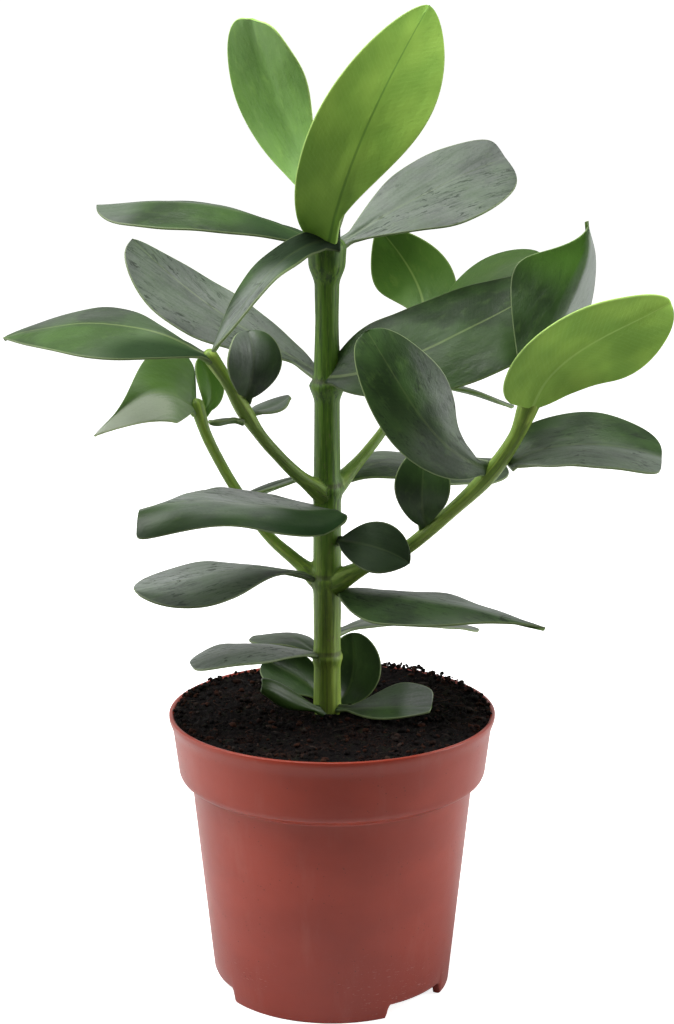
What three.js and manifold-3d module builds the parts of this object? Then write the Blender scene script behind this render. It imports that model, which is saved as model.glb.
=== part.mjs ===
// Potted autograph tree (Clusia): a young plant in a round grower's pot.
// Millimetres, +Z up, origin on the pot's axis at the level it stands on.
// The plant faces -Y, with +X to its right.
import * as THREE from 'three';
import { mergeVertices } from 'three/addons/utils/BufferGeometryUtils.js';
import Module from 'manifold-3d';

const wasm = await Module();
wasm.setup();

// ---- driving dimensions, in millimetres and degrees ----

const fit = 0.3;               // clearance between pieces that touch

const pot = {
  rimRadius: 60,
  height: 105,
  lipHeight: 3.4,              // thickened edge at the top of the collar
  lipWall: 1.7,
  collarTopRadius: 58.6,
  collarFootRadius: 56.6,
  collarFootZ: 83,
  shoulderZ: 79.2,             // where the collar steps in to the body
  bodyTopRadius: 52,
  footRadius: 43.8,
  wall: 1.7,
  floorZ: 5.5,                 // underside of the raised floor
  footRingWidth: 2.6,
  edge: 0.6,                   // bevel of the lip
  sides: 44,
};

// Gaps between the feet let water out from under the raised floor.
const footGap = { height: 5, width: 30, azimuths: [46, 166, -74] };
const drainHole = { radius: 4, circle: 27, count: 5, sides: 12 };

const soil = { topZ: 102.6, edgeDrop: 0.8, hump: 0.6 };

// Trunk: [height, radius] up the stem; it stands a little to the left of the axis.
const trunk = {
  x: -1.8,
  sides: 14,
  girth: [
    [66, 3.2], [88, 4.6], [103, 5.1], [121, 4.9], [125.5, 5.5], [130, 4.9],
    [149, 5.1], [154.5, 6.1], [160, 5.1], [183, 5.0], [188.5, 5.9], [194, 4.8],
    [220, 4.6], [226, 6.2], [231, 4.7], [250, 4.2], [262, 4.4],
    [270, 6.6], [276, 6.9], [280, 4.2],
  ],
};

// Branches: points along each from inside the trunk to its tip, and its radius at each point.
const branches = [
  { // lower left
    points: [[-4, 0, 154], [-14, 2, 162], [-24, 4, 171], [-35, 6, 187],
      [-41, 8, 197], [-46, 10, 207], [-49, 11, 217]],
    radii: [2.9, 2.4, 2.1, 2.0, 2.0, 2.1, 2.7],
  },
  { // lower right
    points: [[1, -2, 154], [14, -6, 162], [26, -9, 168], [42, -14, 183],
      [55, -18, 197], [64, -21, 211], [69, -22, 224]],
    radii: [3.0, 2.6, 2.5, 2.5, 3.1, 2.7, 3.8],
  },
  { // upper left
    points: [[-3, -2, 187], [-12, -8, 195], [-19, -12, 203], [-25, -16, 211],
      [-31, -19, 221], [-36, -23, 231], [-42, -26, 241]],
    radii: [2.8, 2.4, 2.2, 2.2, 2.9, 2.3, 2.8],
  },
  { // upper right, behind
    points: [[0, 2, 187], [12, 11, 199], [20, 19, 208], [28, 27, 220], [33, 33, 231], [34, 37, 240]],
    radii: [2.6, 2.0, 1.8, 2.1, 1.8, 2.4],
  },
];
const branchSides = 10;

// Leaves. Each has four points along its midrib from root to tip, the way its upper face looks
// (faceTip where it turns towards the tip), its width, and the angle that its left and right
// halves rise (+) or droop (-) from the midrib, seen from above with the tip away.
const leafDefaults = {
  wide: 36,
  fold: [6, 6],                // degrees at the midrib
  curl: [0, 0],                // degrees more from midrib to margin
  widest: 0.6,                 // how far along the leaf is widest
  taper: 0.8,                  // base outline: higher is more wedge-shaped
  point: 0.5,                  // tip outline: 0.5 is round, 0.9 is pointed
  stalk: 6,                    // width of the short stalk
};

const leaves = [
  // crown of the trunk: the young upright pair, the pair below it, and a pair to front and back
  { node: 'leaf_top_front', spine: [[-1, -3, 278], [6, -22, 304], [17, -24, 330], [33, -12, 359]],
    face: [0.05, 1, 0.15], wide: 36, widest: [0.68, 0.42], taper: [0.8, 0.4], point: 0.6,
    finish: 'youngLeaf' },
  { node: 'leaf_top_back', spine: [[-2, 3, 278], [-10, 22, 303], [-21, 26, 328], [-28.5, 18, 354]],
    face: [-0.5, -0.85, 0.1], wide: 30, widest: [0.66, 0.76], taper: [1.0, 1.3], point: 0.3,
    finish: 'youngLeaf' },
  { node: 'leaf_crown_right', spine: [[0, 2, 275], [24, 12, 285], [47, 24, 294], [67.5, 36, 302]],
    face: [-0.3, -0.74, 0.6], wide: 38, taper: 1.0, point: 0.36 },
  { node: 'leaf_crown_left', spine: [[-2, 0, 276], [-33, -2, 286], [-59, 0, 289], [-83, 4, 290]],
    face: [0.05, -0.2, 1], wide: 34, fold: [-6, -6], taper: [0.8, 0.5] },
  { node: 'leaf_crown_front', spine: [[-2, -3, 272], [-13, -18, 276], [-27, -38, 262], [-41, -46, 243]],
    face: [-0.62, -0.45, 0.7], faceTip: [-0.8, -0.3, 0.5], wide: [21, 27], widest: 0.64, point: 0.8 },
  { node: 'leaf_crown_back', spine: [[-2, 4, 272], [-1.5, 26, 285], [-3, 42, 298], [-6, 50, 311]],
    face: [-0.2, -0.6, 0.8], wide: 19 },

  // trunk, upper node
  { node: 'leaf_upper_right', spine: [[-2, -4, 230], [26, -10, 238], [56, 4, 250], [84, 20, 261]],
    face: [-0.25, -0.75, 0.6], wide: [38, 42], widest: [0.42, 0.64], taper: [0.3, 0.45] },
  { node: 'leaf_upper_left', spine: [[-4, 3, 230], [-26, 20, 239], [-49, 34, 252], [-74, 42, 274]],
    face: [0.1, -0.6, 0.75], wide: [35, 22], widest: [0.64, 0.55], taper: [0.8, 0.65], point: [0.5, 0.7] },

  // trunk, middle node
  { node: 'leaf_middle_front', spine: [[0, -4, 182], [-21, -26, 188], [-43, -44, 193], [-65, -53.5, 191]],
    face: [0, -0.05, 1], wide: 36, fold: [-5, 8], curl: [-60, 0], widest: [0.55, 0.3],
    taper: [0.15, 0.3], point: [0.2, 0.7] },
  { node: 'leaf_middle_back', spine: [[-1, 4, 188], [20, 22, 190], [43, 40, 186], [64.5, 56.4, 187]],
    face: [0, -0.22, 1], wide: 36, point: 0.35 },
  { node: 'leaf_middle_small',
    spine: [[1.8, -3.6, 170.5], [9.3, -12, 171.2], [18.3, -17, 170], [27.8, -18, 165.2]],
    face: [-0.1, -0.9, 0.45], wide: 19, taper: 0.6, point: 0.7, stalk: 4 },

  // trunk, lower node
  { node: 'leaf_lower_left', spine: [[-4, 0, 155.5], [-29, -16, 159], [-48, -28, 159], [-68, -38, 161]],
    face: [0, -0.22, 1], wide: 37, taper: 1.0, point: 0.4 },
  { node: 'leaf_lower_right', spine: [[2.5, -1, 151.5], [23, -16, 153], [44, -26, 152], [75, -34, 146]],
    face: [0, -0.2, 1], wide: 32, fold: [-16, -16], widest: [0.5, 0.38], taper: [0.8, 1.0],
    point: [0.9, 1.2] },

  // trunk, lowest node and the first short leaves at the soil
  { node: 'leaf_low_right', spine: [[-1, 2, 134], [18, 20, 132], [36, 36, 128], [57, 48, 122]],
    face: [0, 0, 1], wide: 20, point: 0.6 },
  { node: 'leaf_low_left', spine: [[-3, 0, 126], [-18, -12, 130], [-33, -24, 133], [-50, -32, 132]],
    face: [0, -0.05, 1], wide: 24, point: 0.35 },
  { node: 'leaf_low_back', spine: [[-3, 2, 124], [-13, 14, 126], [-21, 24, 125], [-30, 32, 124]],
    face: [0, 0, 1], wide: 20, point: 0.35 },
  { node: 'leaf_foot_back_left', spine: [[-3, 2, 107], [-10, 11, 112], [-18, 17, 115], [-25, 21, 118]],
    face: [-0.2, -0.6, 0.7], wide: 18, point: 0.35, stalk: 4 },
  { node: 'leaf_foot_left', spine: [[-2, -2, 107], [-11, -10, 111], [-18, -16, 117], [-25, -20, 121]],
    face: [0.3, -0.75, 0.6], wide: 17, point: 0.3, stalk: 4 },
  { node: 'leaf_foot_upright', spine: [[0, 3, 107], [6, 9, 110], [8, 13, 119], [7, 15, 130]],
    face: [-0.1, -1, 0.2], wide: 21, point: 0.5, stalk: 4 },
  { node: 'leaf_foot_right', spine: [[0, -2, 107], [12, -9, 109], [24, -13, 112], [36, -16, 114]],
    face: [-0.2, -0.5, 0.85], wide: 17, taper: 1.3, point: 0.3, stalk: 4 },

  // lower left branch
  { node: 'leaf_b1_tip', spine: [[-49, 10, 216], [-56, 4, 222], [-67, -2, 223], [-85, -6, 209]],
    face: [-0.1, -0.7, 0.7], wide: 30, widest: [0.55, 0.35], point: [0.9, 3], finish: 'youngLeaf' },
  { node: 'leaf_b1_tip_small', spine: [[-48, 11, 214], [-44, 14, 219], [-45, 18, 226], [-48, 22, 233]],
    face: [0.5, -0.8, 0.3], wide: 11, finish: 'youngLeaf' },
  { node: 'leaf_b1_side', spine: [[-34, 5, 185], [-42, 8, 184], [-50, 12, 183], [-60, 14, 180]],
    face: [0, 0, 1], wide: 16, stalk: 3 },
  { node: 'leaf_b1_side_small', spine: [[-33, 6, 185], [-26, 9, 186], [-18, 12, 188], [-11, 14, 190]],
    face: [0, 0.15, 1], wide: 14, stalk: 3 },

  // lower right branch
  { node: 'leaf_b2_tip_front', spine: [[69, -23, 224], [79.5, -34, 241.5], [95, -40, 251.5], [114, -40, 259]],
    face: [-0.3, 0.85, 0.35], wide: [43, 36], widest: [0.56, 0.33], taper: [0.35, 0.3], point: [0.4, 0.55],
    finish: 'youngLeaf' },
  { node: 'leaf_b2_tip_back', spine: [[69, -21, 224], [76, -14, 244], [86, -10, 264], [89, -12, 286]],
    face: [-0.15, -0.9, 0.35], wide: [46, 22], fold: [0, -65], widest: [0.6, 0.45], point: [1.8, 1.4] },
  { node: 'leaf_b2_inner', spine: [[55, -20, 200], [38, -36, 213], [25, -44, 231], [12, -40, 252]],
    face: [-0.2, -0.9, 0.3], wide: [27, 33], fold: [0, -30], widest: [0.55, 0.6],
    taper: [0.5, 0.8], point: [0.3, 0.4] },
  { node: 'leaf_b2_outer', spine: [[62, -20, 202], [80, -18, 208], [98, -20, 208.5], [115.6, -22, 203]],
    face: [0, -0.45, 0.9], wide: [35, 30], taper: 0.5, point: [0.35, 0.2] },
  { node: 'leaf_b2_small', spine: [[34, -12, 176], [32, -18, 186], [32, -20, 196], [32, -16, 207]],
    face: [-0.1, -0.95, 0.2], wide: 20, taper: 0.6 },

  // upper left branch
  { node: 'leaf_b3_tip', spine: [[-42, -26, 241], [-57, -30, 249], [-81, -22, 252], [-116.5, -4, 244]],
    face: [0, -0.42, 0.9], wide: [34, 30], fold: [-9, -9], widest: [0.6, 0.72],
    taper: [0.8, 1.1], point: 0.9 },
  { node: 'leaf_b3_round', spine: [[-31, -19, 223], [-28, -24, 232], [-27, -25, 241], [-29, -20, 249]],
    face: [0.3, -0.8, 0.4], wide: 20, fold: [12, 12], point: 0.4 },
  { node: 'leaf_b3_small_right', spine: [[-29, -18, 220], [-25, -14, 220], [-20, -10, 221], [-15, -8, 224]],
    face: [-0.1, -0.15, 1], wide: 12, stalk: 3 },
  { node: 'leaf_b3_small_left', spine: [[-31, -20, 218], [-36, -25, 219], [-39, -30, 219], [-42, -34, 220]],
    face: [0, 0.3, 1], wide: 9, stalk: 3 },

  // upper right branch
  { node: 'leaf_b4_tip', spine: [[33, 39, 239], [34, 50, 250], [28, 55, 263], [17, 54, 277]],
    face: [-0.2, -0.95, 0.25], wide: 29, widest: [0.64, 0.45], taper: [1.1, 0.8], point: 0.75, stalk: 4,
    finish: 'youngLeaf' },
  { node: 'leaf_b4_tip_right', spine: [[35, 35, 237], [46, 36, 248], [61, 40, 258], [78, 43, 264]],
    face: [-0.3, -0.5, 0.8], wide: 26, taper: 1.1, stalk: 4, finish: 'youngLeaf' },
  { node: 'leaf_b4_side', spine: [[29, 27, 222], [42, 30, 222], [55, 34, 218], [68, 38, 212]],
    face: [0, 0.1, 1], wide: 20 },
];

// ---- helpers ----

const vec = (p) => new THREE.Vector3(...p);
const rad = THREE.MathUtils.degToRad;
const mix = THREE.MathUtils.lerp;

// A closed skin over rings of points, capped flat at both ends. From point `under` of each ring on
// it is split along the other diagonal, so that both faces of a thin blade crease alike.
function skin(rings, under = Infinity) {
  const count = rings[0].length;
  const position = rings.flat().flatMap((p) => [p.x, p.y, p.z]);
  const index = [];
  for (let i = 0; i < rings.length - 1; i++) {
    for (let j = 0; j < count; j++) {
      const a = i * count + j;
      const b = i * count + ((j + 1) % count);
      const c = a + count;
      const d = b + count;
      if (j < under) index.push(a, b, c, b, d, c);
      else index.push(a, b, d, a, d, c);
    }
  }
  const last = (rings.length - 1) * count;
  for (let j = 1; j < count - 1; j++) {
    index.push(0, j + 1, j, last, last + j, last + j + 1);
  }
  const geometry = new THREE.BufferGeometry();
  geometry.setAttribute('position', new THREE.Float32BufferAttribute(position, 3));
  geometry.setIndex(index);
  return geometry;
}

function toSolid(geometry) {
  const bare = geometry.clone();
  bare.deleteAttribute('normal');
  bare.deleteAttribute('uv');
  const merged = mergeVertices(bare, 1e-4);
  return new wasm.Manifold(new wasm.Mesh({
    numProp: 3,
    vertProperties: new Float32Array(merged.attributes.position.array),
    triVerts: new Uint32Array(merged.index.array),
  }));
}

function toGeometry(solid) {
  const mesh = solid.getMesh();
  const geometry = new THREE.BufferGeometry();
  geometry.setAttribute('position', new THREE.Float32BufferAttribute(mesh.vertProperties, 3));
  geometry.setIndex(Array.from(mesh.triVerts));
  geometry.computeVertexNormals();
  return geometry;
}

// The largest body of a solid: cutting can leave crumbs behind.
function mainBody(solid) {
  return solid.decompose().reduce((a, b) => (b.volume() > a.volume() ? b : a));
}

// ---- pot and soil ----

function potProfile() {
  const lipZ = pot.height - pot.lipHeight;
  return [
    [0, pot.floorZ],
    [pot.footRadius - pot.footRingWidth, pot.floorZ],
    [pot.footRadius - pot.footRingWidth, 0],
    [pot.footRadius - 1, 0],
    [pot.footRadius, 1],
    [pot.bodyTopRadius, pot.shoulderZ],
    [pot.bodyTopRadius + 0.9, pot.shoulderZ + 0.9],
    [pot.collarFootRadius - 1.2, pot.collarFootZ - 1.9],
    [pot.collarFootRadius, pot.collarFootZ],
    [pot.collarTopRadius, lipZ - pot.edge],
    [pot.rimRadius, lipZ],
    [pot.rimRadius, pot.height - pot.edge],
    [pot.rimRadius - pot.edge, pot.height],
    [pot.rimRadius - pot.lipWall, pot.height],
    [pot.collarTopRadius - pot.wall, lipZ],
    [pot.collarFootRadius - pot.wall, pot.collarFootZ],
    [pot.bodyTopRadius - pot.wall, pot.shoulderZ],
    [pot.footRadius - pot.wall + 0.5, pot.floorZ + pot.wall],
    [0, pot.floorZ + pot.wall],
  ];
}

// Lathe turns about Y; the model stands along Z.
function turned(profile, sides) {
  const points = profile.map(([r, z]) => new THREE.Vector2(r, z));
  return new THREE.LatheGeometry(points, sides).rotateX(Math.PI / 2);
}

function potGeometry() {
  let body = toSolid(turned(potProfile(), pot.sides));
  const ringMiddle = pot.footRadius - pot.footRingWidth / 2;
  for (const azimuth of footGap.azimuths) {
    const gap = new THREE.BoxGeometry(footGap.width, 4 * pot.footRingWidth, 2 * footGap.height);
    gap.translate(0, -ringMiddle, 0);
    gap.rotateZ(rad(azimuth));
    body = body.subtract(toSolid(gap));
  }
  for (let i = 0; i < drainHole.count; i++) {
    const hole = new THREE.CylinderGeometry(
      drainHole.radius, drainHole.radius, 3 * pot.wall, drainHole.sides);
    hole.rotateX(Math.PI / 2);
    hole.translate(drainHole.circle, 0, pot.floorZ + pot.wall / 2);
    hole.rotateZ((i + 0.5) * 2 * Math.PI / drainHole.count);
    body = body.subtract(toSolid(hole));
  }
  return toGeometry(body);
}

// ---- stem ----

// A ring of points round a centre, square to a direction.
function ringAround(centre, direction, radius, sides) {
  const side = new THREE.Vector3(0, 1, 0).cross(direction).normalize();
  const other = direction.clone().cross(side).normalize();
  const ring = [];
  for (let j = 0; j < sides; j++) {
    const turn = 2 * Math.PI * j / sides;
    ring.push(centre.clone()
      .addScaledVector(side, radius * Math.cos(turn))
      .addScaledVector(other, radius * Math.sin(turn)));
  }
  return ring;
}

function trunkSolid(extra) {
  const up = new THREE.Vector3(0, 0, 1);
  const rings = trunk.girth.map(([z, radius]) =>
    ringAround(new THREE.Vector3(trunk.x, 0, z), up, radius + extra, trunk.sides));
  return toSolid(skin(rings));
}

function branchSolid(branch, extra) {
  const points = branch.points.map(vec);
  const rings = points.map((point, i) => {
    const before = points[Math.max(i - 1, 0)];
    const after = points[Math.min(i + 1, points.length - 1)];
    const direction = after.clone().sub(before).normalize();
    return ringAround(point, direction, branch.radii[i] + extra, branchSides);
  });
  return toSolid(skin(rings));
}

// Trunk and branches grew as one piece. extra > 0 gives the space that it keeps clear.
function stemSolid(extra = 0) {
  let solid = trunkSolid(extra);
  for (const branch of branches) solid = solid.add(branchSolid(branch, extra));
  return solid;
}

function soilGeometry(stemSpace) {
  const gap = fit;
  const profile = [
    [0, pot.floorZ + pot.wall + gap],
    [pot.footRadius - pot.wall + 0.5 - 2 * gap, pot.floorZ + pot.wall + gap],
    [pot.bodyTopRadius - pot.wall - gap, pot.shoulderZ + gap],
    [pot.collarFootRadius - pot.wall - gap, pot.collarFootZ + gap],
    [pot.collarTopRadius - pot.wall - gap, soil.topZ - soil.edgeDrop],
    [44, soil.topZ],
    [30, soil.topZ],
    [16, soil.topZ],
    [0, soil.topZ],
  ];
  const mound = turned(profile, 30);
  const place = mound.attributes.position;
  for (let i = 0; i < place.count; i++) {
    if (place.getZ(i) < soil.topZ - 0.1) continue;
    const x = place.getX(i);
    const y = place.getY(i);
    place.setZ(i, soil.topZ + soil.hump * Math.sin(0.17 * x + 1) * Math.cos(0.13 * y + 0.6));
  }
  return toGeometry(mainBody(toSolid(mound).subtract(stemSpace)));
}

// ---- leaves ----

const alongSteps = [0, 0.05, 0.13, 0.25, 0.4, 0.55, 0.7, 0.83, 0.93, 1];
const acrossSteps = [0.5, 0.5];             // shares of each half, from the midrib out
const midribThick = 1.5;
const marginThick = 0.9;
const stalkThick = 2.6;

// The curve through four evenly spaced points.
function alongSpine(points, t) {
  const knots = [0, 1 / 3, 2 / 3, 1];
  const sum = new THREE.Vector3();
  for (let i = 0; i < 4; i++) {
    let weight = 1;
    for (let j = 0; j < 4; j++) {
      if (j !== i) weight *= (t - knots[j]) / (knots[i] - knots[j]);
    }
    sum.addScaledVector(points[i], weight);
  }
  return sum;
}

// A leaf's value for its left (0) or right (1) half, where the halves differ.
const ofHalf = (value, k) => (Array.isArray(value) ? value[k] : value);

function halfWidth(leaf, t, k) {
  const stretch = Math.log(0.5) / Math.log(ofHalf(leaf.widest, k));
  const wave = Math.sin(Math.PI * Math.min(t, 0.995) ** stretch);
  const exponent = mix(ofHalf(leaf.taper, k), ofHalf(leaf.point, k), t);
  const blade = ofHalf(leaf.wide, k) / 2 * Math.max(wave, 0) ** exponent;
  const stalk = leaf.stalk / 2 * Math.max(0, 1 - 2 * t);
  return Math.max(blade, stalk, 0.5);
}

// One cross-section: upper points from the left margin to the right one, then back below.
function leafRing(leaf, spine, t) {
  const centre = alongSpine(spine, t);
  const step = 0.01;
  const tangent = alongSpine(spine, t + step).sub(alongSpine(spine, t - step)).normalize();
  const look = vec(leaf.face).normalize().lerp(vec(leaf.faceTip ?? leaf.face).normalize(), t);
  const normal = look.addScaledVector(tangent, -look.dot(tangent)).normalize();
  const right = tangent.clone().cross(normal);
  const opening = Math.min(1, t / 0.15);     // the stalk is flat; the blade folds beyond it
  const thick = mix(stalkThick, midribThick, opening);

  const place = (across, rise) => centre.clone()
    .addScaledVector(right, across)
    .addScaledVector(normal, rise);
  const sides = [-1, 1].map((side, k) => {
    const half = halfWidth(leaf, t, k);
    const upper = [];
    const lower = [];
    let across = 0;
    let rise = 0;
    acrossSteps.forEach((share, n) => {
      const angle = rad(leaf.fold[k] + leaf.curl[k] * (n + 0.5) / acrossSteps.length) * opening;
      across += half * share * Math.cos(angle);
      rise += half * share * Math.sin(angle);
      const deep = mix(thick, mix(stalkThick, marginThick, opening), (n + 1) / acrossSteps.length);
      upper.push(place(side * across, rise));
      lower.push(place(side * (across + deep * Math.sin(angle)), rise - deep * Math.cos(angle)));
    });
    return { upper, lower };
  });
  const [left, rightSide] = sides;
  return [
    ...left.upper.reverse(), place(0, 0), ...rightSide.upper,
    ...rightSide.lower.reverse(), place(0, -thick), ...left.lower,
  ];
}

function leafGeometry(spec, stemSpace) {
  const leaf = { ...leafDefaults, ...spec };
  const spine = leaf.spine.map(vec);
  const rings = alongSteps.map((t) => leafRing(leaf, spine, t));
  const upperPoints = 2 * acrossSteps.length + 1;
  return toGeometry(mainBody(toSolid(skin(rings, upperPoints)).subtract(stemSpace)));
}

// ---- materials and assembly ----

const finishes = {
  pot: { color: 0x8c4a3f, roughness: 0.55 },
  soil: { color: 0x1c1713, roughness: 1 },
  stem: { color: 0x4f7a26, roughness: 0.5 },
  leaf: { color: 0x3c5a2e, roughness: 0.4 },
  youngLeaf: { color: 0x76a03a, roughness: 0.5 },
};

const plant = new THREE.Group();

function addPiece(name, geometry, finish) {
  const material = new THREE.MeshStandardMaterial({ ...finishes[finish], metalness: 0 });
  const mesh = new THREE.Mesh(geometry, material);
  mesh.name = name;
  plant.add(mesh);
}

const stemSpace = stemSolid(fit);
addPiece('pot', potGeometry(), 'pot');
addPiece('soil', soilGeometry(stemSpace), 'soil');
addPiece('stem', toGeometry(stemSolid()), 'stem');
for (const leaf of leaves) {
  addPiece(leaf.node, leafGeometry(leaf, stemSpace), leaf.finish ?? 'leaf');
}

export default plant;
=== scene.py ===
import math
import random
import bmesh
import bpy
import numpy as np
from mathutils import Matrix, Vector, noise


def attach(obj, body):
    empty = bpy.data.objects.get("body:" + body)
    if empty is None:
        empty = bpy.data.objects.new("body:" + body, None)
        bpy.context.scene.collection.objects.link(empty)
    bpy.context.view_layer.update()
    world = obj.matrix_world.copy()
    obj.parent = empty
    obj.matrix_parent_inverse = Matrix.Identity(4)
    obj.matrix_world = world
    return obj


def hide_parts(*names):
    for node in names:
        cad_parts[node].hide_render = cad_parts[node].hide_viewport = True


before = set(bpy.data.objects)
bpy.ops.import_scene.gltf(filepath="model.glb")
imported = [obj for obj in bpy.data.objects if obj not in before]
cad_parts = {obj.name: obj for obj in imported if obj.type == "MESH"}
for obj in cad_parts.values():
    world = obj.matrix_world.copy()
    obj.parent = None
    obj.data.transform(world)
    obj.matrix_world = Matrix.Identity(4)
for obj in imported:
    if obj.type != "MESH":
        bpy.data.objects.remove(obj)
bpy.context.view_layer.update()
print("frame: loaded", len(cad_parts), "nodes")

mm = 0.001        # sizes below are millimetres unless a note says otherwise
fullTurn = 2 * math.pi


class Wire:
    # one socket; arithmetic on it becomes Math nodes
    def __init__(self, nodes, socket):
        self.nodes = nodes
        self.socket = socket

    def __add__(self, other):
        return self.nodes.math("ADD", self, other)

    def __radd__(self, other):
        return self.nodes.math("ADD", other, self)

    def __sub__(self, other):
        return self.nodes.math("SUBTRACT", self, other)

    def __rsub__(self, other):
        return self.nodes.math("SUBTRACT", other, self)

    def __mul__(self, other):
        return self.nodes.math("MULTIPLY", self, other)

    def __rmul__(self, other):
        return self.nodes.math("MULTIPLY", other, self)

    def __truediv__(self, other):
        return self.nodes.math("DIVIDE", self, other)

    def __rtruediv__(self, other):
        return self.nodes.math("DIVIDE", other, self)


class Nodes:
    # the node tree of one material, or of the world
    def __init__(self, owner):
        owner.use_nodes = True
        self.owner = owner
        self.tree = owner.node_tree
        self.tree.nodes.clear()

    def add(self, kind, settings=None, sockets=None, out=0):
        made = self.tree.nodes.new("ShaderNode" + kind)
        for name, value in (settings or {}).items():
            setattr(made, name, value)
        for name, value in (sockets or {}).items():
            if isinstance(value, Wire):
                self.tree.links.new(value.socket, made.inputs[name])
            else:
                made.inputs[name].default_value = value
        return Wire(self, made.outputs[out]) if made.outputs else None

    def math(self, operation, a, b=0.0):
        return self.add("Math", {"operation": operation}, {0: a, 1: b})

    def attribute(self, name):
        return self.add("Attribute", {"attribute_name": name}, out="Vector")

    def split(self, vector):
        parts = self.add("SeparateXYZ", None, {0: vector}).socket.node
        return [Wire(self, socket) for socket in parts.outputs]

    def stretch(self, vector, factors):
        return self.add("VectorMath", {"operation": "MULTIPLY"}, {0: vector, 1: factors})

    def where(self):
        # the place on the piece, in millimetres
        return self.stretch(self.add("TexCoord", out="Object"), (1 / mm, 1 / mm, 1 / mm))

    def cloud(self, vector, factors, detail=2.0, rough=0.5, bend=0.0):
        where = self.stretch(vector, factors)
        sockets = {"Vector": where, "Scale": 1.0, "Detail": detail, "Roughness": rough, "Distortion": bend}
        return self.add("TexNoise", None, sockets)

    def cells(self, vector, factors):
        sockets = {"Vector": self.stretch(vector, factors), "Scale": 1.0}
        return self.add("TexVoronoi", None, sockets, out="Distance")

    def rise(self, value, low, high):
        # 0 below low, 1 above high, smooth between
        settings = {"interpolation_type": "SMOOTHSTEP"}
        return self.add("MapRange", settings, {0: value, 1: low, 2: high, 3: 0.0, 4: 1.0})

    def layers(self, body, *coats):
        # each coat is a tint, as "rrggbb" or a socket, and its share
        for tint, share in coats:
            under, over = [paint(c) if isinstance(c, str) else c for c in (body, tint)]
            settings = {"data_type": "RGBA", "blend_type": "MIX"}
            body = self.add("Mix", settings, {0: share, 6: under, 7: over}, out=2)
        return body

    def bumps(self, *heights):
        # each is a height and its depth in metres, one on top of the other
        normal = None
        for height, depth in heights:
            sockets = {"Height": height, "Distance": depth, "Strength": 1.0}
            if normal:
                sockets["Normal"] = normal
            normal = self.add("Bump", None, sockets)
        return normal

    def surface(self, sockets):
        shader = self.add("BsdfPrincipled", None, sockets)
        self.add("OutputMaterial", None, {"Surface": shader})
        return self.owner


def paint(code):
    # "rrggbb" as a screen shows it, in the renderer's own linear light
    parts = [int(code[i:i + 2], 16) / 255 for i in (0, 2, 4)]
    return tuple(((c + 0.055) / 1.055) ** 2.4 if c > 0.04045 else c / 12.92 for c in parts) + (1.0,)


def addMark(mesh, mark, values):
    layer = mesh.attributes.new(mark, "FLOAT_VECTOR", "POINT")
    layer.data.foreach_set("vector", np.asarray(values, np.float32).ravel())


def placed(name, data):
    made = bpy.data.objects.new(name, data)
    bpy.context.scene.collection.objects.link(made)
    return made


def makePiece(name, points, faces, material, marks=None):
    # points in metres; marks are values carried by every point for the material to read
    mesh = bpy.data.meshes.new(name)
    mesh.from_pydata(np.asarray(points).tolist(), [], faces)
    mesh.shade_smooth()
    piece = placed(name, mesh)
    mesh.materials.append(material)
    for mark, values in (marks or {}).items():
        addMark(mesh, mark, values)
    return piece


def ringFaces(rings, count, startCap=True, endCap=True):
    # quads between closed rings of points, with the first and last ring filled
    faces = []
    for i in range(rings - 1):
        for j in range(count):
            k = (j + 1) % count
            faces.append((i * count + j, i * count + k, (i + 1) * count + k, (i + 1) * count + j))
    if startCap:
        faces.append(tuple(reversed(range(count))))
    if endCap:
        faces.append(tuple(range((rings - 1) * count, rings * count)))
    return faces


def shifted(faces, start):
    return [tuple(start + n for n in face) for face in faces]


def finished(piece, slot, *nodes):
    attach(piece, "root")
    if nodes:
        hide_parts(*nodes)


def applied(piece):
    # the piece's mesh with its modifiers worked in
    graph = bpy.context.evaluated_depsgraph_get()
    mesh = bpy.data.meshes.new_from_object(piece.evaluated_get(graph))
    piece.modifiers.clear()
    old = piece.data
    piece.data = mesh
    bpy.data.meshes.remove(old)
    return mesh


def smoothStep(x, low, high):
    x = np.clip((np.asarray(x, float) - low) / (high - low), 0, 1)
    return x * x * (3 - 2 * x)


def unit(v):
    return v / np.linalg.norm(v, axis=-1, keepdims=True)


def lengthAlong(line):
    return np.concatenate([[0], np.cumsum(np.linalg.norm(np.diff(line, axis=0), axis=1))])


def roundTurn(sides):
    return np.linspace(0, fullTurn, sides, endpoint=False)


pot = {
    "rimRadius": 60, "height": 105, "lipHeight": 2.6, "lipWall": 1.25,
    "collarTopRadius": 58.6, "collarFootRadius": 56.6, "collarFootZ": 83,
    "shoulderZ": 79.2, "bodyTopRadius": 52, "footRadius": 43.8, "wall": 1.7,
    "floorZ": 5.5, "footRing": 2.6, "sides": 216, "longest": 6.0,
    "gapHeight": 5, "gapWidth": 30, "gapAzimuths": [46, 166, -74],
    "gapSlope": (-1.6, 0.2),                   # a gap's sides slope between these distances past them
    "gather": 0.72, "gatherReach": 0.07, "gatherInside": 0.6,  # columns of points draw in to those slopes
    "holeRadius": 4, "holeCircle": 27, "holes": 5, "holeSides": 28, "holeSpare": 3,
    "wobble": 0.12,                            # how far the thin rim is out of round
    "sharpFrom": 50,                           # degrees
    "tints": {"plastic": "a63d29", "deep": "903120", "foot": "7e281a", "chalk": "c08a7c",
              "soilDust": "33231c", "scuff": "cf9c90"},
    "footShade": 62,                           # painted shade: the body's colour is darkened below this height
    "scuffs": (8, 34),                         # heights between which the scuffs die out
}


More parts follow.
